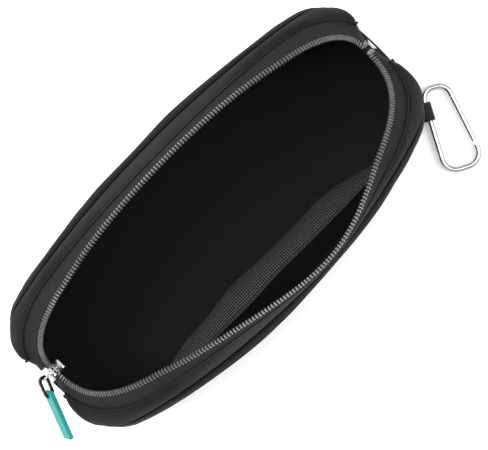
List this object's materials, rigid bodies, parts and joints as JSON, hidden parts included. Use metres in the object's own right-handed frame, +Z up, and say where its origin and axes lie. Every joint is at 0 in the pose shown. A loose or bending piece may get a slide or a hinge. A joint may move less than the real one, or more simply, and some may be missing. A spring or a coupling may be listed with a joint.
{
  "type": "cable organizer pouch",
  "caption": "Open black neoprene cable pouch with a zip, a teal pull, a mesh pocket and a carabiner.",
  "frame": {"origin": "on the base, under the zip line and midway between the ends", "axes": "+X along the pouch towards the carabiner, -Y is the front wall with the mesh pocket, +Z up"},
  "size_m": [0.2796, 0.1356, 0.1234],
  "materials": {
    "neoprene": "matte",
    "tape": "matte",
    "coil": "satin",
    "nickel": "polished",
    "mesh": "matte",
    "elastic": "matte",
    "webbing": "matte",
    "thread": "matte",
    "dark_metal": "satin",
    "teal_rubber": "satin",
    "hook_aluminium": "satin",
    "pin_steel": "satin"
  },
  "bodies": {
    "root": {"front_panel": "neoprene", "rear_panel": "neoprene", "base_gusset": "neoprene", "front_band": "neoprene", "rear_band": "neoprene", "zip_tape_front": "tape", "zip_tape_rear": "tape", "zip_coil_front": "coil", "zip_coil_rear": "coil", "zip_end_stops": "nickel", "mesh_pocket": "mesh", "pocket_hem": "elastic", "webbing_loop": "webbing", "loop_bartack": "thread"},
    "slider": {"slider_body": "nickel"},
    "pull": {"pull_link": "dark_metal", "pull_grip": "teal_rubber"},
    "hook": {"hook_body": "hook_aluminium"},
    "gate": {"hook_gate": "hook_aluminium", "gate_pin": "pin_steel", "gate_spring": "pin_steel"}
  },
  "joints": [
    {"name": "slider_travel", "type": "hinge", "parent": "root", "child": "slider", "pos_m": [-0.077, 0, 0.045], "axis": [0, 1, 0], "range_deg": [0, 10]},
    {"name": "pull_swing", "type": "hinge", "parent": "slider", "child": "pull", "pos_m": [-0.12482, 0, 0.06629], "axis": [-0.4067, 0, -0.9135], "range_deg": [-8, 110]},
    {"name": "carabiner_swing", "type": "hinge", "parent": "root", "child": "hook", "pos_m": [0.12111, -0.04698, 0.0031], "axis": [-0.4787, -0.878, 0], "range_deg": [0, 75]},
    {"name": "gate_swing", "type": "hinge", "parent": "hook", "child": "gate", "pos_m": [0.12828, -0.07481, 0.0031], "axis": [0, 0, 1], "range_deg": [0, 24], "stiffness_Nm_per_rad": 0.002}
  ]
}
